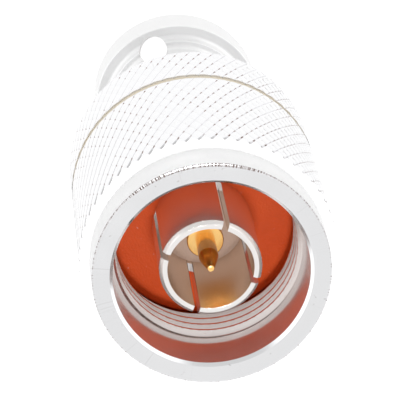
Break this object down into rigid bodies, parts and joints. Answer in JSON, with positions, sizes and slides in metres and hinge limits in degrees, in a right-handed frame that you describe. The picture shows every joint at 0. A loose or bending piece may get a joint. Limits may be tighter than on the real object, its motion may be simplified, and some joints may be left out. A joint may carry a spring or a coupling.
{
  "type": "coaxial cable plug",
  "caption": "Round coaxial cable plug with a knurled threaded coupling nut, slotted outer contact, gold centre pin and stepped cable barrel.",
  "frame": {"origin": "centre of the cable barrel's rear face, on which the plug stands", "axes": "+Z along the plug's axis towards the mating end; the contact's four slots lie on the diagonals between X and Y"},
  "size_m": [0.021, 0.021, 0.041],
  "materials": {
    "plated_metal": "bright white plating, knurled on the nut",
    "spring_contact_plating": "polished plating",
    "gold_plating": "polished gold",
    "silicone": "smooth orange red",
    "bead_dielectric": "waxy, warm off-white"
  },
  "bodies": {
    "plug_body": {"body": "plated_metal", "cable_barrel": "plated_metal", "outer_contact": "spring_contact_plating", "gasket": "silicone", "front_bead": "bead_dielectric", "rear_bead": "bead_dielectric", "centre_contact": "gold_plating"},
    "ring": {"retaining_ring": "spring_contact_plating"},
    "nut": {"coupling_nut": "plated_metal"}
  },
  "joints": [
    {"name": "nut_float", "type": "slide", "parent": "plug_body", "child": "ring", "axis": [0, 0, 1], "range_m": [0, 0.0004]},
    {"name": "nut_spin", "type": "hinge", "parent": "ring", "child": "nut", "pos_m": [0, 0, 0.0225], "axis": [0, 0, 1], "continuous": true}
  ]
}
